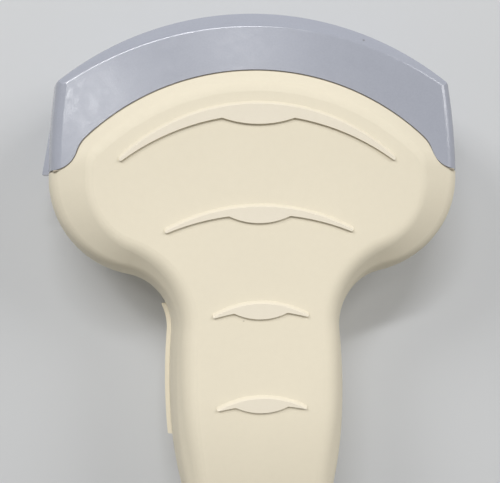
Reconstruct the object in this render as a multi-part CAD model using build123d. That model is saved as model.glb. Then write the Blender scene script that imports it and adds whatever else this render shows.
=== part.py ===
"""Curved-array ultrasound transducer probe: moulded handle, nosepiece, array stack and electronics.

The model is built about the housing's parting plane: X across the probe, Y along it towards the lens,
Z out of the front face, with the parting plane at Z = 0. It is exported lying on its back, with the
origin on the resting plane, in the middle of the second grip ridge of the rear shell.
"""
import os
from dataclasses import dataclass
from math import asin, cos, degrees, hypot, radians, sin, sqrt

from build123d import *

# Outline of the housing on the parting plane, as tangent arcs
head_half_width = 39.95
widest_y = 12.2
side_radius = 125.0
shoulder_radius = 18.7
neck_radius = 10.5
grip_half_width = 17.1
grip_y = -27.5
grip_radius = 116.0
taper_y = -34.0
taper_radius = 76.0
end_y = -62.0

# Lens and array, about the array's centre of curvature
lens_radius = 60.0
lens_apex_y = 43.8
array_y = lens_apex_y - lens_radius
lens_margin = 5.3
lens_height = 17.2
lens_crown = 0.6
lens_end_fillet = 0.8
lens_thickness = 1.85
lens_clearance = 0.05
array_margin_angle = 2.25
array_height = 13.8
element_count = 128
element_kerf = 0.08
bond_line = 0.05
outer_matching_thickness = 0.3
inner_matching_thickness = 0.35
ground_foil_thickness = 0.15
element_thickness = 0.5
flex_thickness = 0.2
backing_depth = 9.8

# Section of the housing
plateau_z = 14.0
rim_z = 10.3
rim_inset = 1.5
rim_fillet = 3.5
plateau_fillet = 3.4
end_fillet = 1.0
parting_groove = 0.15
wall = 2.0
rim_drop = 0.55
flat_inset = 0.35
dip_y = -29.5
dip_radius = 90.0
dip_run = 20.5

# Raised flat of the front and rear faces
plateau_half_width = head_half_width - 8.75
plateau_widest_y = 11.0
plateau_shoulder = 12.9
plateau_neck = 16.0
plateau_grip_half_width = 13.9
plateau_grip_y = -22.0
plateau_grip_radius = 150.0
plateau_taper_y = -27.0
plateau_taper_radius = 42.0
plateau_end_y = -50.0
bevel_width = 3.2
bevel_overrun = 1.6
corner_radius = 3.0

# Seam between the housing and the nosepiece: an arc over the head, then an S down to each side
seam_apex_y = 32.1
seam_sagitta = 22.53
seam_radius = (head_half_width**2 + seam_sagitta**2) / (2 * seam_sagitta)
seam_y = seam_apex_y - seam_radius
seam_break_x = head_half_width - 6.95
seam_foot = (head_half_width - 5.35, 13.3)
seam_fillets = (6.0, 5.0)
seam_gap = 0.3
seal_recess = 0.3
seal_play = 0.03
seam_margin = 10.0

# Nosepiece
nose_radius = lens_radius + 0.75
nose_z = 11.5
nose_shelf_z = 9.0
nose_crease_radius = lens_radius + 2.9
nose_crease_y = lens_apex_y - 3.3 - nose_crease_radius
nose_crease_fillet = 0.8
nose_corner = 3.0
nose_fillet = 2.2
nose_side_play = 0.01
skirt_thickness = 1.2
skirt_depth = 4.0
skirt_play = 0.1
window_play = 0.05
window_ledge = 0.5
window_ledge_angle = 0.6
window_depth = 4.0

# Index fin on the nosepiece and index rib along the grip, both on the left side
nose_fin = (1.4, 9.2, 2.8)
nose_fin_sink = 0.3
rib_span = (-12.0, -37.7)
rib_height = 0.82
rib_width = 2.2
rib_run_out = 5.5
rib_flare = 1.3
rib_nose = 0.4

# Grip ridges
ridge_height = 0.55
ridge_ramp = 50.0
ridge_lower_radius = 44.5
ridge_tip_slant = 0.2
ridge_tip_fillet = 0.3
ridge_cusp_fillet = 0.4
ridge_margin = 1.5

# Each ridge: apex, upper arc, half reach, depth of the tip, cusp beside the tab, low point of the tab
ridge_sizes = (
    (25.93, 37.8, plateau_half_width - 5.4, 1.2, (6.75, 22.7), 21.55),
    (6.87, 36.9, 17.6, 1.0, (5.7, 4.5), 3.2),
    (-11.05, 17.9, 9.0, 0.8, (4.95, -13.4), -14.55),
    (-28.52, 17.8, 8.45, 0.65, (4.85, -30.7), -31.8),
)

# Cable inlet
inlet_radius = 4.5
gland_neck_radius = 6.2
gland_flange_radius = 7.0
gland_collar_radius = 7.6
gland_flange = 1.2
gland_collar = 4.0
gland_play = 0.1

# Chassis, boards and fixings
chassis_thickness = 2.0
chassis_half_width = 12.0
chassis_tail_half_width = 9.0
chassis_end_y = -52.3
head_post = (17.5, 8.0, 2.6)
grip_post = (10.4, -30.0, 2.2)
seat_play = 0.05
screw_radius = 0.85
screw_play = 0.1
screw_head_radius = 1.8
screw_head = 1.2
spacer_height = 3.0
spacer_radius = 1.9
board_thickness = 1.2
board_half_width = 13.5
board_tail_half_width = 7.6
board_top_y = 16.0
board_step_y = -3.0
board_end_y = -51.0
bolt_places = ((-10.5, 3.0), (10.5, 3.0), (-5.5, -48.5), (5.5, -48.5))
nut_height = 1.3
nut_flats = 3.2
connector_length = 26.0
connector_width = 5.0
connector_y = 13.0
connector_chamfer = 0.6
shield_wall = 0.3
shield_corner = 1.0
shield_margin = 0.3
shield_height = 2.8
shield_span = (-6.0, -45.0)
carrier_depth = 3.0
carrier_lug = (16.0, 10.0, 2.0)
carrier_lug_root = 1.4
clamp_radius = 5.1
clamp_wall = 1.2
clamp_length = 5.0
clamp_play = 0.1
clamp_hole = 3.2
clamp_tongue = (6.4, 8.5, 1.0)
clamp_screw_ys = (-46.5, -50.0)
carrier_screw_xs = (-5.0, 5.0)
cheek_play_angle = 0.6
cheek_reach_angle = 8.7
bridge_height = 13.6
carrier_screw_y = 22.0
flex_fingers = 10
flex_slit = (0.4, 5.0)
flex_slit_shift = 1.0
flex_tail_flare = 3.0
flex_tail_overlap = 1.0
chassis_window = (7.0, 11.0)
chassis_window_ys = (12.0, -8.0, -22.0, -38.0)
chip_size = (8.0, 1.2)
chip_ys = (-13.0, -25.5, -38.0)
post_screw_depth = 6.0
post_pilot_margin = 1.0
post_root = 1.0

# Overshoot of a cutter past what it cuts, and closeness that counts as touching
cut = 1.0
touch = 0.001


def circle_meet(first, first_radius, second, second_radius, side):
    """Point where two circles cross, on the chosen side of the line between their centres."""
    dx, dy = second[0] - first[0], second[1] - first[1]
    gap = hypot(dx, dy)
    along = (first_radius**2 - second_radius**2 + gap**2) / (2 * gap)
    off = side * sqrt(first_radius**2 - along**2)
    return first[0] + (along * dx - off * dy) / gap, first[1] + (along * dy + off * dx) / gap


def toward(start, target, distance):
    """Point at a distance from start in the direction of target."""
    length = hypot(target[0] - start[0], target[1] - start[1])
    step = distance / length
    return start[0] + (target[0] - start[0]) * step, start[1] + (target[1] - start[1]) * step


def arc_about(center, radius, start, end):
    """Short arc about a centre from start to end."""
    middle = ((start[0] + end[0]) / 2, (start[1] + end[1]) / 2)
    return ThreePointArc(start, toward(center, middle, radius), end)


@dataclass
class Contour:
    """Outline of tangent arcs, the same on both sides, from the front arc down to the cable end."""

    front: tuple
    corner: float
    widest: tuple
    side: float
    shoulder: float
    neck: float
    grip: tuple
    grip_arc: float
    taper: tuple
    end: float

    def face(self, inset=0.0, end_inset=0.0):
        """Face inside the outline, moved inwards by inset."""
        front_y, front_radius = self.front
        half_width, wide_y = self.widest
        front_center = (0, front_y)
        side_center = (half_width - self.side, wide_y)
        shoulder_center = (half_width - self.shoulder, wide_y)
        grip_center = (self.grip[0] - self.grip_arc, self.grip[1])
        neck_center = circle_meet(
            shoulder_center, self.shoulder + self.neck, grip_center, self.grip_arc + self.neck, 1
        )
        corner_center = circle_meet(
            front_center, front_radius - self.corner, side_center, self.side - self.corner, -1
        )
        start_y, taper_arc = self.taper
        taper_x = grip_center[0] + sqrt(self.grip_arc**2 - (start_y - grip_center[1]) ** 2)
        taper_center = toward((taper_x, start_y), grip_center, taper_arc)
        stop = self.end + end_inset
        points = [
            (0, front_y + front_radius - inset),
            toward(front_center, corner_center, front_radius - inset),
            toward(side_center, corner_center, self.side - inset),
            (half_width - inset, wide_y),
            toward(shoulder_center, neck_center, self.shoulder - inset),
            toward(grip_center, neck_center, self.grip_arc - inset),
            toward(grip_center, (taper_x, start_y), self.grip_arc - inset),
            (taper_center[0] + sqrt((taper_arc - inset) ** 2 - (stop - taper_center[1]) ** 2), stop),
        ]
        circles = [
            (front_center, front_radius - inset),
            (corner_center, self.corner - inset),
            (side_center, self.side - inset),
            (shoulder_center, self.shoulder - inset),
            (neck_center, self.neck + inset),
            (grip_center, self.grip_arc - inset),
            (taper_center, taper_arc - inset),
        ]
        right = [
            arc_about(center, radius, points[i], points[i + 1])
            for i, (center, radius) in enumerate(circles)
        ]
        left = [mirror(edge, Plane.YZ) for edge in right]
        end_x = points[-1][0]
        return make_face(Curve() + right + left + [Line((end_x, stop), (-end_x, stop))])


def body_contour(front, corner):
    """Outline of the whole probe with the given front arc."""
    return Contour(
        front,
        corner,
        (head_half_width, widest_y),
        side_radius,
        shoulder_radius,
        neck_radius,
        (grip_half_width, grip_y),
        grip_radius,
        (taper_y, taper_radius),
        end_y,
    )


def crown_inset(z):
    """How far the crowned side wall has come in at a height above the parting plane."""
    return rim_inset * (z / rim_z) ** 2


def crown(contour, inset, top, end_inset=0.0):
    """Half body with crowned side walls, from the parting plane up to a flat top."""
    levels = [0.0, top / 2, top]
    sections = [Pos(0, 0, z) * contour.face(inset + crown_inset(z), end_inset) for z in levels]
    return loft(sections)


def dip_profile(inset):
    """Side view of the housing: flat plateau, then a long dip to the cable end."""
    center_z = plateau_z - dip_radius
    radius = dip_radius - inset
    top = center_z + radius
    turn = asin(dip_run / dip_radius)
    middle = (dip_y - radius * sin(turn / 2), center_z + radius * cos(turn / 2))
    line_start = (dip_y - radius * sin(turn), center_z + radius * cos(turn))
    run = line_start[0] - end_y + wall
    line_end = (line_start[0] - run, line_start[1] - run * sin(turn) / cos(turn))
    front_y = array_y + lens_radius
    edges = [
        Line((front_y, 0), (front_y, top)),
        Line((front_y, top), (dip_y, top)),
        ThreePointArc((dip_y, top), middle, line_start),
        Line(line_start, line_end),
        Line(line_end, (line_end[0], 0)),
        Line((line_end[0], 0), (front_y, 0)),
    ]
    return extrude(Plane.YZ * make_face(edges), head_half_width + wall, both=True)


def housing_contour():
    """Outline of the housing on the parting plane, with its front a little past the seam."""
    return body_contour((seam_y, seam_radius + bevel_overrun + rim_inset), corner_radius + rim_inset + wall)


def housing_form(inset=0.0):
    """Half of the housing above the parting plane: crowned sides, bevel, raised flat and dip."""
    outer = housing_contour()
    flat = Contour(
        (seam_y, seam_radius - bevel_width),
        corner_radius + wall,
        (plateau_half_width, plateau_widest_y),
        side_radius,
        plateau_shoulder,
        plateau_neck,
        (plateau_grip_half_width, plateau_grip_y),
        plateau_grip_radius,
        (plateau_taper_y, plateau_taper_radius),
        plateau_end_y,
    )
    rim = rim_z - inset * rim_drop
    top = plateau_z - inset
    lower = crown(outer, inset, rim, inset)
    rim_face = outer.face(inset + crown_inset(rim), inset)
    flat_face = flat.face(inset * flat_inset)
    bevel = loft([Pos(0, 0, rim) * rim_face, Pos(0, 0, top) * flat_face], ruled=True)
    return lower, bevel, rim, top


def at_height(edge, z):
    """Whether an edge lies level at a height."""
    return all(abs(edge.position_at(t).Z - z) < touch for t in (0, 0.5, 1))


def at_depth(edge, y):
    """Whether an edge lies in the plane across the probe at a depth along it."""
    return all(abs(edge.position_at(t).Y - y) < touch for t in (0, 0.5, 1))


def on_middle(shape):
    """Whether a face or edge lies across the middle of the probe."""
    return abs(shape.center().X) < touch


def corners_at(face, x):
    """Corners of a plan face at a distance either side of the middle."""
    return [corner for corner in face.vertices() if abs(abs(corner.X) - x) < touch]


def outer_housing():
    """Outside of one housing half with its rounded edges and its half of the parting groove."""
    lower, bevel, rim, top = housing_form()
    form = lower + bevel
    rim_edges = [e for e in form.edges() if at_height(e, rim) and e.center().Y > end_y + end_fillet]
    form = fillet(rim_edges, rim_fillet) & dip_profile(0)
    flat = form.faces().filter_by(Plane.XY).sort_by(Axis.Z)[-1]
    dip = [f for f in form.faces() if f.center().Z > rim and f.center().Y < dip_y and on_middle(f)]
    crest = {e for face in [flat] + dip for e in face.edges() if not on_middle(e)}
    form = fillet(crest, plateau_fillet)
    end_edges = [e for e in form.edges() if at_depth(e, end_y) and not at_height(e, 0)]
    form = fillet(end_edges, end_fillet)
    beyond = Rectangle(4 * head_half_width, -4 * end_y) - housing_contour().face(parting_groove, parting_groove)
    return form - prism(beyond, 0, parting_groove)


def seam_region(shift):
    """Plan of everything on the lens side of the seam, its edge moved towards the lens by shift."""
    rise = sqrt(seam_radius**2 - seam_break_x**2)
    knee = (seam_break_x, seam_y + rise)
    reach = head_half_width + seam_margin
    ahead = array_y + lens_radius + seam_margin
    foot_y = seam_foot[1]
    edges = [
        arc_about((0, seam_y), seam_radius, (-knee[0], knee[1]), knee),
        Line(knee, seam_foot),
        Line(seam_foot, (reach, foot_y)),
        Line((reach, foot_y), (reach, ahead)),
        Line((reach, ahead), (-reach, ahead)),
        Line((-reach, ahead), (-reach, foot_y)),
        Line((-reach, foot_y), (-seam_foot[0], foot_y)),
        Line((-seam_foot[0], foot_y), (-knee[0], knee[1])),
    ]
    face = make_face(edges)
    face = fillet(corners_at(face, seam_break_x), seam_fillets[0])
    face = fillet(corners_at(face, seam_foot[0]), seam_fillets[1])
    return offset(face, -shift) if shift else face


def prism(face, low, high):
    """Upright prism over a plan face."""
    return Pos(0, 0, low) * extrude(face, high - low)


@dataclass
class Ridge:
    """Crescent grip ridge: its upper arc, its tips, the cusps either side of the thumb tab and the tab."""

    apex: float
    radius: float
    reach: float
    tip: float
    cusp: tuple
    tab: float

    def upper_edge(self, reach):
        """Upper arc from the right tip to the left one, with the right tip."""
        tip = (reach, self.apex - self.radius + sqrt(self.radius**2 - reach**2))
        return ThreePointArc(tip, (0, self.apex), (-reach, tip[1])), tip

    def plan(self):
        """Outline of the ridge on the housing."""
        upper, tip = self.upper_edge(self.reach)
        foot = (tip[0] - ridge_tip_slant, tip[1] - self.tip)
        cusp_x, cusp_y = self.cusp
        right = [Line(tip, foot), RadiusArc((cusp_x, cusp_y), foot, ridge_lower_radius)]
        left = [mirror(edge, Plane.YZ) for edge in right]
        tab = ThreePointArc((-cusp_x, cusp_y), (0, self.tab), (cusp_x, cusp_y))
        face = make_face([upper, tab] + right + left)
        face = fillet(corners_at(face, cusp_x), ridge_cusp_fillet)
        return fillet(corners_at(face, tip[0]) + corners_at(face, foot[0]), ridge_tip_fillet)

    def ramp(self):
        """Prism under the upper edge, whose wall leans back as a thumb ramp."""
        upper, tip = self.upper_edge(self.reach + ridge_margin)
        low = self.tab - self.reach
        skirt = Polyline((-tip[0], tip[1]), (-tip[0], low), (tip[0], low), tip)
        return extrude(make_face([upper, skirt]), ridge_height, taper=ridge_ramp)

    def solid(self):
        """Ridge standing on the raised flat."""
        body = extrude(self.plan(), ridge_height, dir=(0, 0, 1)) & self.ramp()
        return Pos(0, 0, plateau_z) * body


ridges = [Ridge(*sizes) for sizes in ridge_sizes]


def side_rib(side):
    """Index rib along the left side of the grip, half on each housing half, running out into the neck."""
    top, bottom = rib_span
    inner = grip_half_width - wall / 2
    outer = grip_half_width + rib_height
    tip = (-(grip_half_width + rib_flare), top)
    window = make_face(
        Polyline(
            (-inner, bottom),
            (-outer, bottom),
            (-outer, top - rib_run_out),
            tip,
            (-inner, top),
            close=True,
        )
    )
    strip = housing_contour().face(-rib_height) & window
    nose = strip.vertices().sort_by(Axis.Y)[:2].sort_by(Axis.X)[0]
    rib = extrude(fillet(nose, rib_nose), rib_width / 2)
    return rib if side < 0 else mirror(rib, Plane.YZ)


def gland_hole():
    """Round hole through the cable end for the gland's neck."""
    depth = 3 * wall
    hole = Cylinder(gland_neck_radius + gland_play, depth)
    return Pos(0, end_y, 0) * Rot(90, 0, 0) * hole


def plain_shell(side):
    """Housing half with its cavity, gland hole and grip ridges, and its half of the rib on a side."""
    lower, bevel, _, _ = housing_form(wall)
    cavity = (lower + bevel) & dip_profile(wall)
    shell = outer_housing() + side_rib(side) - cavity
    shell -= prism(seam_region(-seam_gap / 2), -cut, plateau_z + cut)
    shell -= skirt_form(wall + skirt_play / 2)
    shell -= gland_hole()
    for ridge in ridges:
        shell += ridge.solid()
    return shell


def make_front_shell():
    """Front housing half, with the posts that the chassis is screwed to."""
    shell = plain_shell(-1)
    seat = chassis_thickness / 2 + seat_play
    top = plateau_z - wall
    for x, y, radius in (head_post, grip_post):
        for side in (-1, 1):
            post = prism(Circle(radius), seat, top + post_root)
            pilot = prism(Circle(screw_radius + seat_play), seat, top - post_pilot_margin)
            shell = shell + Pos(side * x, y, 0) * post - Pos(side * x, y, 0) * pilot
    return shell


def make_rear_shell():
    """Rear housing half: the same moulding turned over, with its own grip ridges."""
    return Rot(0, 180, 0) * plain_shell(1)


def doubled(half):
    """Body made of a half above the parting plane and its mirror image below."""
    return half + mirror(half, Plane.XY)


def nose_form(inset, top=nose_z):
    """Half of the head form with crowned sides and a flat face, moved inwards by inset."""
    contour = body_contour((array_y, nose_radius), nose_corner + inset)
    return crown(contour, inset, min(top, nose_z - inset))


def skirt_form(inset):
    """Half of the nosepiece's skirt, which reaches under the housing's seam edge."""
    top = rim_z - wall * rim_drop + wall - inset
    return nose_form(inset, top) & prism(seam_region(-skirt_depth), 0, plateau_z)


def turned(profile, half_angle, center_y=array_y):
    """Solid turned about an upright axis, the array's or another, from a profile of radius and height."""
    start = Pos(0, center_y, 0) * Rot(0, 0, -half_angle) * (Plane.YZ * profile)
    return revolve(start, Axis((0, center_y, 0), (0, 0, 1)), 2 * half_angle)


def band(inner, outer, height, half_angle):
    """Curved band of the array: radii, full height across the parting plane, half angle."""
    profile = Pos((inner + outer) / 2, 0) * Rectangle(outer - inner, height)
    return turned(profile, half_angle)


lens_half_angle = degrees(asin((head_half_width - lens_margin) / lens_radius))
array_half_angle = lens_half_angle - array_margin_angle
lens_back = lens_radius - lens_thickness


def make_lens():
    """Acoustic lens: a silicone band, crowned across its height."""
    half = lens_height / 2
    edge = lens_radius - lens_crown
    profile = make_face(
        [
            Line((lens_back, -half), (edge, -half)),
            ThreePointArc((edge, -half), (lens_radius, 0), (edge, half)),
            Line((edge, half), (lens_back, half)),
            Line((lens_back, half), (lens_back, -half)),
        ]
    )
    lens = turned(profile, lens_half_angle)
    ends = [f for f in lens.faces() if f.geom_type == GeomType.PLANE and abs(f.normal_at().Z) < 0.01]
    edges = [f.edges().sort_by(lambda e: -hypot(e.center().X, e.center().Y - array_y))[0] for f in ends]
    return fillet(edges, lens_end_fillet)


def nose_cavity():
    """Hollow inside the nosepiece, open towards the handle."""
    inset = wall + skirt_play + skirt_thickness
    return nose_form(inset)


def nose_slope():
    """Everything under one face and its front slope: a cone about its own centre, with a rounded crease."""
    run = array_y + nose_radius - nose_crease_y - nose_crease_radius
    drop = nose_z - nose_shelf_z
    crease = (nose_crease_radius, nose_z)
    foot = (nose_crease_radius + 2 * run, nose_z - 2 * drop)
    profile = make_face(Polyline((0, 0), (0, nose_z), crease, foot, (foot[0], 0), close=True))
    corner = profile.vertices().sort_by_distance(crease + (0,))[0]
    return turned(fillet(corner, nose_crease_fillet), 180, nose_crease_y)


def nose_sides():
    """Half of the head form with rounded side edges, its front far ahead of the lens."""
    form = crown(body_contour((array_y, nose_radius + seam_margin), nose_corner), 0, nose_z)
    edges = [e for e in form.edges() if at_height(e, nose_z) and abs(e.center().X) > plateau_half_width]
    return fillet(edges, nose_fillet)


def make_nosepiece():
    """Nosepiece: window frame for the lens, skirt into the housing and the index fin."""
    outside = nose_sides() & nose_form(-nose_side_play, nose_z + cut) & nose_slope()
    outside &= prism(seam_region(seam_gap / 2), 0, plateau_z)
    nose = doubled(outside + skirt_form(wall + skirt_play))
    nose -= doubled(nose_cavity())
    ledge = lens_back - lens_clearance
    angle = lens_half_angle + degrees(window_play / lens_radius)
    nose -= band(ledge, lens_radius + cut, lens_height + 2 * window_play, angle)
    opening = lens_height - 2 * window_ledge
    nose -= band(ledge - window_depth, ledge + cut, opening, angle - window_ledge_angle)
    proud, length, width = nose_fin
    foot = seam_foot[1] + seam_gap / 2
    inner = head_half_width - wall
    outer = head_half_width + proud
    top_x = head_half_width - nose_fin_sink
    fin = make_face(
        Polyline((-inner, foot), (-outer, foot), (-top_x, foot + length), (-inner, foot + length), close=True)
    )
    return nose + prism(fin, -width / 2, width / 2)


def make_nose_seal():
    """Thin silicone seal that fills the seam, a little below the outside."""
    half_gap = seam_gap / 2 - seal_play
    strip = seam_region(-half_gap) - seam_region(half_gap)
    half = (nose_form(seal_recess) - nose_form(wall)) & prism(strip, 0, plateau_z)
    return doubled(half)


outer_matching_back = lens_back - bond_line - outer_matching_thickness
inner_matching_back = outer_matching_back - bond_line - inner_matching_thickness
ground_foil_back = inner_matching_back - bond_line - ground_foil_thickness
element_back = ground_foil_back - bond_line - element_thickness
flex_back = element_back - bond_line - flex_thickness
backing_front = flex_back - bond_line
backing_back = backing_front - backing_depth
carrier_front = backing_back - bond_line
carrier_back = carrier_front - carrier_depth


def layer(back, thickness):
    """One layer of the array stack."""
    return band(back, back + thickness, array_height, array_half_angle)


def make_elements():
    """Piezo elements diced side by side round the arc."""
    pitch = 2 * array_half_angle / element_count
    radius = element_back + element_thickness / 2
    width = radians(pitch) * radius - element_kerf
    element = Pos(0, radius, 0) * Box(width, element_thickness, array_height)
    first = -array_half_angle + pitch / 2
    return Compound(
        children=[Pos(0, array_y, 0) * Rot(0, 0, first + pitch * i) * element for i in range(element_count)]
    )


skirt_z = array_height / 2 + bond_line


def make_flex():
    """Signal flex circuit: under the elements, down both sides of the backing to the connectors."""
    sheet_z = skirt_z + flex_thickness / 2
    under = band(flex_back, flex_back + flex_thickness, 2 * (skirt_z + flex_thickness), array_half_angle)
    fan = Pos(0, 0, sheet_z) * band(backing_back, flex_back, flex_thickness, array_half_angle)
    half = connector_length / 2
    low = connector_y - connector_width / 2
    high = array_y + backing_back + flex_tail_overlap
    flared = half + flex_tail_flare
    tail = make_face(Polyline((-half, low), (half, low), (flared, high), (-flared, high), close=True))
    side = fan + prism(tail, skirt_z, skirt_z + flex_thickness)
    slit_radius = (backing_back + backing_front) / 2 + flex_slit_shift
    slit = Pos(0, slit_radius, sheet_z) * Box(*flex_slit, 2 * flex_thickness)
    step = 2 * array_half_angle / flex_fingers
    for i in range(1, flex_fingers):
        side -= Pos(0, array_y, 0) * Rot(0, 0, step * i - array_half_angle) * slit
    return under + side + mirror(side, Plane.XY)


def make_carrier():
    """Aluminium carrier: arch behind the backing, cheeks that fit the nosepiece, lug to the chassis."""
    inset = wall + skirt_play + skirt_thickness + seat_play
    cheek_angle = array_half_angle + cheek_play_angle
    ends = band(carrier_back, backing_front, 2 * nose_z, lens_half_angle + cheek_reach_angle)
    ends -= band(carrier_back - cut, backing_front + cut, 2 * nose_z + cut, cheek_angle)
    cheeks = doubled(nose_form(inset)) & ends
    bridge = band(carrier_back, carrier_front, bridge_height, cheek_angle + cheek_play_angle)
    length, drop, thickness = carrier_lug
    root_y = array_y + carrier_back + carrier_lug_root
    low = chassis_thickness / 2 + seat_play
    reach = drop + carrier_lug_root
    lug = Pos(0, root_y - reach / 2, low + thickness / 2) * Box(length, reach, thickness)
    carrier = bridge + cheeks + lug
    for x in carrier_screw_xs:
        hole = prism(Circle(screw_radius + screw_play), 0, low + thickness + cut)
        carrier -= Pos(x, carrier_screw_y, 0) * hole
    return carrier


def post_places():
    """Centres of the screw posts on both sides."""
    return [(side * x, y) for x, y, _ in (head_post, grip_post) for side in (-1, 1)]


def stepped_plate(half_width, top_y, tail_half_width, end_y):
    """Plan of a plate that is wide in the head and narrow in the handle."""
    head = Rectangle(2 * half_width, top_y - board_step_y)
    tail = Rectangle(2 * tail_half_width, board_step_y - end_y)
    return Pos(0, (top_y + board_step_y) / 2) * head + Pos(0, (board_step_y + end_y) / 2) * tail


def make_chassis():
    """Chassis plate from the array carrier down to the cable clamp, with ears for the posts."""
    half = chassis_thickness / 2
    top_y = array_y + sqrt(carrier_back**2 - chassis_half_width**2) - seat_play
    plan = stepped_plate(chassis_half_width, top_y, chassis_tail_half_width, chassis_end_y)
    for x, y, radius in (head_post, grip_post):
        plan += Pos(0, y) * SlotOverall(2 * (x + radius), 2 * radius)
    holes = post_places() + list(bolt_places)
    holes += [(x, carrier_screw_y) for x in carrier_screw_xs]
    holes += [(0, y) for y in clamp_screw_ys]
    for x, y in holes:
        plan -= Pos(x, y) * Circle(screw_radius + screw_play)
    for y in chassis_window_ys:
        plan -= Pos(0, y) * SlotOverall(chassis_window[1], chassis_window[0], rotation=90)
    return prism(plan, -half, half)


def pan_screw(length):
    """Pan-head screw standing on its head's seat, with its shank down from Z = 0."""
    head = Cylinder(screw_head_radius, screw_head, align=(Align.CENTER, Align.CENTER, Align.MIN))
    head = fillet(head.edges().sort_by(Axis.Z)[-1], screw_head / 2)
    shank = Cylinder(screw_radius, length, align=(Align.CENTER, Align.CENTER, Align.MAX))
    return head + shank


chassis_face = chassis_thickness / 2
board_low = chassis_face + spacer_height
board_high = board_low + board_thickness


def make_carrier_screws():
    """Screws through the carrier's lug into the chassis."""
    seat = chassis_face + seat_play + carrier_lug[2]
    screw = pan_screw(carrier_lug[2] + chassis_thickness)
    return Compound(children=[Pos(x, carrier_screw_y, seat) * screw for x in carrier_screw_xs])


def make_chassis_screws():
    """Screws from behind through the chassis ears into the front shell's posts."""
    screw = Rot(180, 0, 0) * pan_screw(chassis_thickness + post_screw_depth)
    return Compound(children=[Pos(x, y, -chassis_face) * screw for x, y in post_places()])


def make_front_board():
    """Circuit board on the front side of the chassis."""
    plan = stepped_plate(board_half_width, board_top_y, board_tail_half_width, board_end_y)
    for x, y in bolt_places:
        plan -= Pos(x, y) * Circle(screw_radius + screw_play)
    return prism(plan, board_low, board_high)


def make_front_connector():
    """Board connector that takes the tail of the flex circuit on its top."""
    height = skirt_z - seat_play - board_high
    block = Box(connector_length, connector_width, height)
    block = chamfer(block.edges().filter_by(Axis.Z), connector_chamfer)
    return Pos(0, connector_y, board_high + height / 2) * block


def make_front_chips():
    """Multiplexer chips in a row under the shield."""
    size, height = chip_size
    chip = Box(size, size, height, align=(Align.CENTER, Align.CENTER, Align.MIN))
    return Compound(children=[Pos(0, y, board_high) * chip for y in chip_ys])


def make_front_shield():
    """Folded sheet can over the chips."""
    top, bottom = shield_span
    width, length = 2 * (board_tail_half_width - shield_margin), top - bottom
    outer = Box(width, length, shield_height, align=(Align.CENTER, Align.CENTER, Align.MIN))
    outer = fillet(outer.edges().filter_by(Axis.Z), shield_corner)
    inner = Box(
        width - 2 * shield_wall,
        length - 2 * shield_wall,
        shield_height - shield_wall,
        align=(Align.CENTER, Align.CENTER, Align.MIN),
    )
    return Pos(0, (top + bottom) / 2, board_high) * (outer - inner)


def make_spacers():
    """Tubular spacers between the chassis and both boards."""
    tube = prism(Circle(spacer_radius) - Circle(screw_radius + screw_play), chassis_face, board_low)
    pair = [tube, mirror(tube, Plane.XY)]
    return Compound(children=[Pos(x, y, 0) * one for x, y in bolt_places for one in pair])


def make_bolts():
    """Bolts through board, spacers, chassis and board."""
    bolt = pan_screw(2 * board_high + nut_height)
    return Compound(children=[Pos(x, y, board_high) * bolt for x, y in bolt_places])


def make_nuts():
    """Hexagon nuts behind the rear board."""
    plan = RegularPolygon(nut_flats / 2, 6, major_radius=False) - Circle(screw_radius + screw_play)
    nut = prism(plan, -board_high - nut_height, -board_high)
    return Compound(children=[Pos(x, y, 0) * nut for x, y in bolt_places])


def make_gland():
    """Gland bush: flange inside the end wall, neck through it and a tapered collar outside."""
    inner = end_y + wall + gland_play
    outside = end_y - gland_play
    profile = make_face(
        Polyline(
            (inlet_radius, inner + gland_flange),
            (gland_flange_radius, inner + gland_flange),
            (gland_flange_radius, inner),
            (gland_neck_radius, inner),
            (gland_neck_radius, outside),
            (gland_collar_radius, outside),
            (gland_collar_radius, outside - gland_collar / 3),
            (gland_neck_radius, outside - gland_collar),
            (inlet_radius, outside - gland_collar),
            close=True,
        )
    )
    return revolve(profile, Axis.Y, 360)


def make_clamp():
    """Cable clamp: collar, end disc with the wire hole, and a tongue on the chassis."""
    outer = clamp_radius + clamp_wall
    start = end_y + wall + gland_play + gland_flange + clamp_play
    stop = start + clamp_length
    profile = make_face(
        Polyline(
            (clamp_radius, start),
            (outer, start),
            (outer, stop + clamp_wall),
            (clamp_hole, stop + clamp_wall),
            (clamp_hole, stop),
            (clamp_radius, stop),
            close=True,
        )
    )
    collar = revolve(profile, Axis.Y, 360)
    width, length, thickness = clamp_tongue
    low = chassis_face + seat_play
    base = stop + clamp_wall / 2
    tongue = Pos(0, base + length / 2, low + thickness / 2) * Box(width, length, thickness)
    tongue -= Pos(0, stop, 0) * Rot(90, 0, 0) * Cylinder(clamp_hole, 4 * clamp_wall)
    for y in clamp_screw_ys:
        tongue -= Pos(0, y, low + thickness / 2) * Cylinder(screw_radius + screw_play, 2 * thickness)
    return collar + tongue


def make_clamp_screws():
    """Screws through the clamp's tongue into the chassis."""
    thickness = clamp_tongue[2]
    screw = pan_screw(thickness + chassis_thickness)
    return Compound(
        children=[Pos(0, y, chassis_face + seat_play + thickness) * screw for y in clamp_screw_ys]
    )


front_board = make_front_board()
front_connector = make_front_connector()
front_chips = make_front_chips()
front_shield = make_front_shield()

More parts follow.
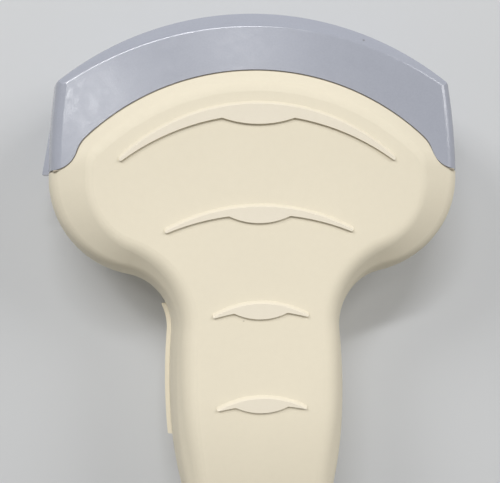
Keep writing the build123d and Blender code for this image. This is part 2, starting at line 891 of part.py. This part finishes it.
nodes = {
    "front_shell": make_front_shell(),
    "rear_shell": make_rear_shell(),
    "nosepiece": make_nosepiece(),
    "nose_seal": make_nose_seal(),
    "acoustic_lens": make_lens(),
    "outer_matching_layer": layer(outer_matching_back, outer_matching_thickness),
    "inner_matching_layer": layer(inner_matching_back, inner_matching_thickness),
    "ground_foil": layer(ground_foil_back, ground_foil_thickness),
    "piezo_elements": make_elements(),
    "flex_circuit": make_flex(),
    "backing_block": layer(backing_back, backing_depth),
    "array_carrier": make_carrier(),
    "carrier_screws": make_carrier_screws(),
    "chassis": make_chassis(),
    "chassis_screws": make_chassis_screws(),
    "front_board": front_board,
    "rear_board": mirror(front_board, Plane.XY),
    "front_connector": front_connector,
    "rear_connector": mirror(front_connector, Plane.XY),
    "front_chips": front_chips,
    "rear_chips": mirror(front_chips, Plane.XY),
    "front_shield": front_shield,
    "rear_shield": mirror(front_shield, Plane.XY),
    "board_spacers": make_spacers(),
    "board_bolts": make_bolts(),
    "board_nuts": make_nuts(),
    "cable_gland": make_gland(),
    "cable_clamp": make_clamp(),
    "clamp_screws": make_clamp_screws(),
}

# The probe lies on its rear ridges: the origin is under the middle of the second one.
rest_y = (ridges[1].apex + ridges[1].tab) / 2
place = Pos(0, -rest_y, plateau_z + ridge_height)
os.makedirs("parts", exist_ok=True)
for name, shape in nodes.items():
    solids = [place * solid for solid in shape.solids()]
    node = solids[0] if len(solids) == 1 else Compound(solids)
    export_step(node, f"parts/{name}.step")
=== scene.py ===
"""Looks of the curved-array ultrasound probe: finishes, floor, light and camera."""
from math import radians

import bpy
from mathutils import Matrix, Vector

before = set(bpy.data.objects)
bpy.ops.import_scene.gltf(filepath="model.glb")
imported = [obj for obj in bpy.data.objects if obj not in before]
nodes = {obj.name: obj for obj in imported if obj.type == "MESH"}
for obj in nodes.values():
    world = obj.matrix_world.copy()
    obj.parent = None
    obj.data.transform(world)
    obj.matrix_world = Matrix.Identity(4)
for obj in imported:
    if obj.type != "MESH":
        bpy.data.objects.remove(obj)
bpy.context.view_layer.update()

# Lengths are in metres and angles in degrees, apart from the lens and sensor in millimetres

# The probe's own frame, on its parting plane, seen from the row frame
PROBE_ORIGIN = Vector((0.0, -0.005035, 0.01455))

# Camera, from the photograph's outline, seam and ridges
FOCAL = 64.8
SENSOR = 36.0
CLIP = (0.01, 20.0)
CAMERA_DISTANCE = 0.18041
CAMERA_PITCH = 0.641
CAMERA_YAW = -4.851
CAMERA_ROLL = -0.711
CAMERA_SIDESTEP = 0.00065

# Colours, linear
CREAM = (0.752, 0.688, 0.545)
# Painted highlight: a paler, cooler tint of the cream for the grip ridges
RIDGE_HIGHLIGHT_TINT = (1.0, 1.005, 1.045)
BLUE_GREY = (0.336, 0.352, 0.410)
SPECK = (0.10, 0.085, 0.07)
FLOOR_TONES = ((0.60, 0.61, 0.62), (0.62, 0.63, 0.64))
BACKDROP = (0.66, 0.67, 0.68)
SKY = (1.0, 0.97, 0.90)
SKY_STRENGTH = 0.25

# The part of a noise's range in which nearly all its values lie
NOISE_LOW = 0.35
NOISE_HIGH = 0.65

# Noise values of a cloudy finish's darker and paler tone
CLOUD_STOPS = (0.3, 0.7)

# Heights above the parting plane between which a grip ridge rises from the flat face
RIDGE_FOOT = 0.01412
RIDGE_TOP = 0.01445

# Dark specks that the photograph shows: place across and along the row frame, and radius
NOSE_SPECK = ((0.02069, 0.03301), 0.00028)
RIDGE_SPECK = ((-0.00322, -0.01987), 0.0002)

# A speck's ragged edge: its waves per metre, its unevenness and its dark core as shares of the radius
SPECK_GRAIN = 9000.0
SPECK_RAGGED = 0.35
SPECK_CORE = 0.6

# Floor: half its width, and the distances between which it fades into the backdrop
FLOOR_HALF = 3.0
FADE_START = 0.15
FADE_END = 0.6

# What the area lamps face, and the size of the spot lamp
PROBE_MIDDLE = (0.0, 0.0, 0.01)
SPOT_RADIUS = 0.03


def make_camera():
    """Camera over the probe, a little to the left of straight above."""
    turn = (
        Matrix.Rotation(radians(CAMERA_YAW), 4, "Y")
        @ Matrix.Rotation(radians(CAMERA_PITCH), 4, "X")
        @ Matrix.Rotation(radians(CAMERA_ROLL), 4, "Z")
    )
    data = bpy.data.cameras.new("camera")
    data.lens = FOCAL
    data.sensor_width = SENSOR
    data.clip_start, data.clip_end = CLIP
    camera = bpy.data.objects.new("camera", data)
    bpy.context.scene.collection.objects.link(camera)
    place = turn @ Vector((0.0, 0.0, CAMERA_DISTANCE))
    place += PROBE_ORIGIN - Vector((CAMERA_SIDESTEP, 0.0, 0.0))
    camera.matrix_world = Matrix.Translation(place) @ turn
    bpy.context.scene.camera = camera


class Finish:
    """A node material under construction."""

    def __init__(self, name):
        self.material = bpy.data.materials.new(name)
        self.material.use_nodes = True
        self.nodes = self.material.node_tree.nodes
        self.links = self.material.node_tree.links
        self.shader = self.nodes["Principled BSDF"]
        self.coords = self.nodes.new("ShaderNodeTexCoord").outputs["Object"]

    def link(self, source, target):
        """Wires an output to an input."""
        self.links.new(source, target)

    def feed(self, source, name):
        """Wires an output to the shader's input of that name."""
        self.link(source, self.shader.inputs[name])

    def set(self, **values):
        """Plain values of the shader's sockets, by name with underscores for spaces."""
        for name, value in values.items():
            self.shader.inputs[name.replace("_", " ")].default_value = value

    def stretched(self, scale):
        """Object coordinates scaled per axis."""
        mapping = self.nodes.new("ShaderNodeMapping")
        mapping.inputs["Scale"].default_value = scale
        self.link(self.coords, mapping.inputs["Vector"])
        return mapping.outputs["Vector"]

    def noise(self, scale, detail=2.0, roughness=0.5, coords=None):
        """Noise over the object's coordinates; scale is waves per metre."""
        node = self.nodes.new("ShaderNodeTexNoise")
        node.inputs["Scale"].default_value = scale
        node.inputs["Detail"].default_value = detail
        node.inputs["Roughness"].default_value = roughness
        self.link(coords or self.coords, node.inputs["Vector"])
        return node.outputs["Fac"]

    def ramp(self, value, positions, colors):
        """Colour ramp from the first colour to the second between two positions."""
        node = self.nodes.new("ShaderNodeValToRGB")
        for element, position, color in zip(node.color_ramp.elements, positions, colors):
            element.position = position
            element.color = (*color, 1.0)
        self.link(value, node.inputs["Fac"])
        return node.outputs["Color"]

    def spread(self, value, low, high, bottom=NOISE_LOW, top=NOISE_HIGH):
        """Value mapped from bottom and top to low and high."""
        node = self.nodes.new("ShaderNodeMapRange")
        node.inputs["From Min"].default_value = bottom
        node.inputs["From Max"].default_value = top
        node.inputs["To Min"].default_value = low
        node.inputs["To Max"].default_value = high
        self.link(value, node.inputs["Value"])
        return node.outputs["Result"]

    def mix(self, factor, first, second):
        """Colour from an output to a plain colour, by a factor."""
        node = self.nodes.new("ShaderNodeMix")
        node.data_type = "RGBA"
        # The node repeats its socket names for each data type: these are the colour's
        into, first_color, second_color = (node.inputs[index] for index in (0, 6, 7))
        self.link(factor, into)
        self.link(first, first_color)
        second_color.default_value = (*second, 1.0)
        return node.outputs[2]

    def bump(self, heights, distance):
        """Bump from a height output."""
        node = self.nodes.new("ShaderNodeBump")
        node.inputs["Distance"].default_value = distance
        self.link(heights, node.inputs["Height"])
        self.feed(node.outputs["Normal"], "Normal")

    def math(self, operation, first, second=0.0):
        """Arithmetic on an output and an output or number."""
        node = self.nodes.new("ShaderNodeMath")
        node.operation = operation
        self.link(first, node.inputs[0])
        if isinstance(second, float):
            node.inputs[1].default_value = second
        else:
            self.link(second, node.inputs[1])
        return node.outputs["Value"]

    def height(self):
        """Height over the probe's parting plane."""
        node = self.nodes.new("ShaderNodeSeparateXYZ")
        self.link(self.coords, node.inputs["Vector"])
        return self.math("SUBTRACT", node.outputs["Z"], PROBE_ORIGIN.z)

    def speck(self, place, radius):
        """1 inside a small ragged speck on the upper side, seen from above, 0 elsewhere."""
        node = self.nodes.new("ShaderNodeVectorMath")
        node.operation = "DISTANCE"
        node.inputs[1].default_value = (*place, 0.0)
        self.link(self.stretched((1.0, 1.0, 0.0)), node.inputs[0])
        edge = SPECK_RAGGED * radius
        ragged = self.spread(self.noise(SPECK_GRAIN), -edge, edge)
        reach = self.math("ADD", node.outputs["Value"], ragged)
        inside = self.spread(reach, low=1.0, high=0.0, bottom=SPECK_CORE * radius, top=radius)
        return self.math("MULTIPLY", inside, self.math("GREATER_THAN", self.height(), 0.0))


def shade(color, factor):
    """Colour made lighter or darker."""
    return tuple(min(1.0, part * factor) for part in color)


def housing_finish():
    """Matte spark-eroded moulding, with a painted highlight that makes the grip ridges a little paler
    and cooler in colour.
    """
    finish = Finish("housing_cream")
    cloud = finish.noise(scale=45.0, detail=4.0)
    fleck = finish.noise(scale=900.0, detail=3.0, roughness=0.6)
    grain = finish.noise(scale=4200.0, detail=2.0, roughness=0.55)
    above = finish.math("ABSOLUTE", finish.height())
    ridge = finish.spread(above, low=0.0, high=1.0, bottom=RIDGE_FOOT, top=RIDGE_TOP)
    # Painted highlight: the grip ridges' ramps, tops and steps are tinted paler and cooler than the
    # flat face
    ridge_highlight = tuple(part * tint for part, tint in zip(CREAM, RIDGE_HIGHLIGHT_TINT))

    tone = finish.ramp(cloud, CLOUD_STOPS, (shade(CREAM, 0.985), shade(CREAM, 1.012)))
    tone = finish.mix(ridge, tone, ridge_highlight)
    tone = finish.mix(finish.spread(fleck, low=0.0, high=0.1), tone, shade(CREAM, 0.9))
    tone = finish.mix(finish.math("MULTIPLY", finish.speck(*RIDGE_SPECK), 0.3), tone, SPECK)
    finish.feed(tone, "Base Color")

    matte = finish.spread(fleck, low=0.6, high=0.7)
    polish = finish.math("MULTIPLY", ridge, 0.08)
    finish.feed(finish.math("SUBTRACT", matte, polish), "Roughness")
    finish.bump(grain, distance=0.000012)
    finish.set(Specular_IOR_Level=0.35)
    return finish.material


def nose_finish():
    """Smooth satin moulding whose faint orange peel breaks up the reflections."""
    finish = Finish("nose_blue_grey")
    cloud = finish.noise(scale=70.0, detail=3.0)
    fleck = finish.noise(scale=2600.0, detail=2.0)
    haze = finish.noise(scale=600.0, detail=4.0, roughness=0.6)
    peel = finish.noise(scale=2600.0, detail=3.0, roughness=0.6)

    tone = finish.ramp(cloud, CLOUD_STOPS, (shade(BLUE_GREY, 0.975), shade(BLUE_GREY, 1.025)))
    tone = finish.mix(finish.spread(fleck, low=0.0, high=0.06), tone, shade(BLUE_GREY, 1.5))
    tone = finish.mix(finish.math("MULTIPLY", finish.speck(*NOSE_SPECK), 0.5), tone, SPECK)
    finish.feed(tone, "Base Color")

    finish.feed(finish.spread(haze, low=0.16, high=0.23), "Roughness")
    finish.bump(peel, distance=0.00001)
    finish.set(Specular_IOR_Level=0.9)
    return finish.material


def moulded(name, color, roughness, grain=2500.0, contrast=0.06):
    """Plain plastic, rubber or ceramic with fine grain."""
    finish = Finish(name)
    cloud = finish.noise(scale=120.0, detail=4.0)
    grit = finish.noise(scale=grain, detail=3.0)
    tones = (shade(color, 1 - contrast), shade(color, 1 + contrast))
    finish.feed(finish.ramp(cloud, CLOUD_STOPS, tones), "Base Color")
    finish.feed(finish.spread(grit, roughness - 0.06, roughness + 0.06), "Roughness")
    finish.bump(grit, distance=0.00001)
    return finish.material


def metal(name, color, roughness, along=(200.0, 6000.0, 6000.0)):
    """Metal with fine lines; along is waves per metre on each axis."""
    finish = Finish(name)
    lines = finish.noise(scale=1.0, detail=3.0, roughness=0.6, coords=finish.stretched(along))
    tones = (shade(color, 0.9), color)
    finish.feed(finish.ramp(lines, (NOISE_LOW, NOISE_HIGH), tones), "Base Color")
    finish.feed(finish.spread(lines, roughness - 0.07, roughness + 0.08), "Roughness")
    finish.bump(lines, distance=0.000004)
    finish.set(Metallic=1.0)
    return finish.material


def dress(material, *names):
    """Gives CAD nodes a finish."""
    for name in names:
        mesh = nodes[name].data
        mesh.materials.clear()
        mesh.materials.append(material)


def dress_probe():
    """Gives every CAD node the finish of its own material."""
    dress(housing_finish(), "front_shell", "rear_shell")
    dress(nose_finish(), "nosepiece")
    lens = moulded("lens_silicone", (0.30, 0.325, 0.40), 0.38, grain=1200.0, contrast=0.02)
    dress(lens, "acoustic_lens")
    dress(moulded("seal_silicone", (0.42, 0.37, 0.29), 0.65), "nose_seal")
    dress(moulded("matching_epoxy", (0.5, 0.42, 0.2), 0.4), "outer_matching_layer")
    dress(moulded("filled_epoxy", (0.2, 0.2, 0.22), 0.5), "inner_matching_layer")
    dress(metal("copper_foil", (0.75, 0.42, 0.28), 0.3), "ground_foil")
    dress(moulded("piezoceramic", (0.55, 0.47, 0.3), 0.55), "piezo_elements")
    dress(moulded("polyimide", (0.5, 0.2, 0.03), 0.3), "flex_circuit")
    dress(moulded("damping_rubber", (0.03, 0.03, 0.032), 0.7), "backing_block")
    dress(metal("machined_aluminium", (0.62, 0.63, 0.65), 0.35), "array_carrier", "chassis")
    dress(
        metal("stainless_steel", (0.5, 0.5, 0.52), 0.3, along=(3000.0, 3000.0, 300.0)),
        "carrier_screws", "chassis_screws", "board_bolts", "board_nuts", "clamp_screws",
    )
    dress(moulded("solder_mask", (0.02, 0.12, 0.05), 0.35), "front_board", "rear_board")
    dress(moulded("connector_resin", (0.6, 0.56, 0.42), 0.5), "front_connector", "rear_connector")
    dress(moulded("chip_package", (0.02, 0.02, 0.02), 0.55), "front_chips", "rear_chips")
    dress(metal("tinned_sheet", (0.6, 0.61, 0.6), 0.38), "front_shield", "rear_shield")
    dress(metal("turned_brass", (0.68, 0.48, 0.2), 0.32), "board_spacers")
    dress(metal("plated_brass", (0.55, 0.5, 0.38), 0.32), "cable_clamp")
    dress(moulded("bush_rubber", (0.32, 0.32, 0.3), 0.6), "cable_gland")


def seen(tree):
    """1 for rays that show the surroundings to the camera, in a gloss or through glass."""
    path = tree.nodes.new("ShaderNodeLightPath")
    total = path.outputs["Is Camera Ray"]
    for name in ("Is Glossy Ray", "Is Transmission Ray"):
        node = tree.nodes.new("ShaderNodeMath")
        node.operation = "MAXIMUM"
        tree.links.new(total, node.inputs[0])
        tree.links.new(path.outputs[name], node.inputs[1])
        total = node.outputs["Value"]
    return total


def blend_shaders(tree, factor, first, second, target):
    """Wires two shaders, mixed by a factor, to an output node's surface."""
    blend = tree.nodes.new("ShaderNodeMixShader")
    tree.links.new(factor, blend.inputs[0])
    tree.links.new(first, blend.inputs[1])
    tree.links.new(second, blend.inputs[2])
    tree.links.new(blend.outputs["Shader"], tree.nodes[target].inputs["Surface"])


def floor_finish():
    """Pale floor that fades into the backdrop far away."""
    finish = Finish("floor_pale")
    finish.feed(finish.ramp(finish.noise(scale=3.0), CLOUD_STOPS, FLOOR_TONES), "Base Color")
    finish.set(Roughness=0.9, Specular_IOR_Level=0.1)
    far = finish.nodes.new("ShaderNodeVectorMath")
    far.operation = "LENGTH"
    finish.link(finish.coords, far.inputs[0])
    fade = finish.spread(far.outputs["Value"], low=0.0, high=1.0, bottom=FADE_START, top=FADE_END)
    tree = finish.material.node_tree
    fade = finish.math("MULTIPLY", fade, seen(tree))
    glow = finish.nodes.new("ShaderNodeEmission")
    glow.inputs["Color"].default_value = (*BACKDROP, 1.0)
    solid = finish.shader.outputs["BSDF"]
    blend_shaders(tree, fade, solid, glow.outputs["Emission"], "Material Output")
    return finish.material


def make_floor():
    """Flat floor under the probe."""
    mesh = bpy.data.meshes.new("floor")
    corners = [(-1, -1), (1, -1), (1, 1), (-1, 1)]
    places = [(x * FLOOR_HALF, y * FLOOR_HALF, 0.0) for x, y in corners]
    mesh.from_pydata(places, [], [(0, 1, 2, 3)])
    mesh.materials.append(floor_finish())
    floor = bpy.data.objects.new("floor", mesh)
    bpy.context.scene.collection.objects.link(floor)


def make_surroundings():
    """Weak even light, seen as a pale backdrop."""
    world = bpy.data.worlds.new("surroundings")
    world.use_nodes = True
    tree = world.node_tree
    light = tree.nodes["Background"]
    light.inputs["Color"].default_value = (*SKY, 1.0)
    light.inputs["Strength"].default_value = SKY_STRENGTH
    backdrop = tree.nodes.new("ShaderNodeBackground")
    backdrop.inputs["Color"].default_value = (*BACKDROP, 1.0)
    first, second = light.outputs["Background"], backdrop.outputs["Background"]
    blend_shaders(tree, seen(tree), first, second, "World Output")
    bpy.context.scene.world = world


def put_lamp(data, place, aim):
    """Lamp at a place, facing a point and hidden from the camera."""
    lamp = bpy.data.objects.new(data.name, data)
    bpy.context.scene.collection.objects.link(lamp)
    lamp.visible_camera = False
    lamp.location = place
    lamp.rotation_euler = (Vector(aim) - Vector(place)).to_track_quat("-Z", "Y").to_euler()


def area_light(name, place, size, energy, color=(1.0, 1.0, 1.0)):
    """Rectangular soft light that faces the probe."""
    data = bpy.data.lights.new(name, "AREA")
    data.shape = "RECTANGLE"
    data.size, data.size_y = size
    data.energy = energy
    data.color = color
    put_lamp(data, place, PROBE_MIDDLE)


def spot_light(name, place, aim, cone, energy):
    """Round light whose pool fades out smoothly; cone is its full angle."""
    data = bpy.data.lights.new(name, "SPOT")
    data.spot_size = radians(cone)
    data.spot_blend = 1.0
    data.shadow_soft_size = SPOT_RADIUS
    data.energy = energy
    put_lamp(data, place, aim)


def make_light():
    """High wide key beyond the lens, soft fills, glints on the nosepiece, a pool on the handle."""
    area_light("key", (-0.10, 0.38, 0.70), (0.40, 0.05), energy=2.45, color=(0.99, 1.0, 1.03))
    area_light("left_fill", (-0.45, 0.42, 0.50), (0.25, 0.25), energy=1.9)
    area_light("right_fill", (0.55, 0.35, 0.55), (0.40, 0.40), energy=2.3)
    area_light("left_glint", (-0.09, 0.125, 0.635), (0.05, 0.05), energy=0.08)
    area_light("middle_glint", (0.045, 0.175, 0.635), (0.05, 0.05), energy=0.045)
    spot_light("handle_pool", (-0.03, -0.03, 0.62), aim=(0.0, -0.03, 0.02), cone=11.0, energy=1.45)


dress_probe()
make_camera()
make_floor()
make_light()
make_surroundings()
bpy.context.scene.view_settings.view_transform = "Standard"
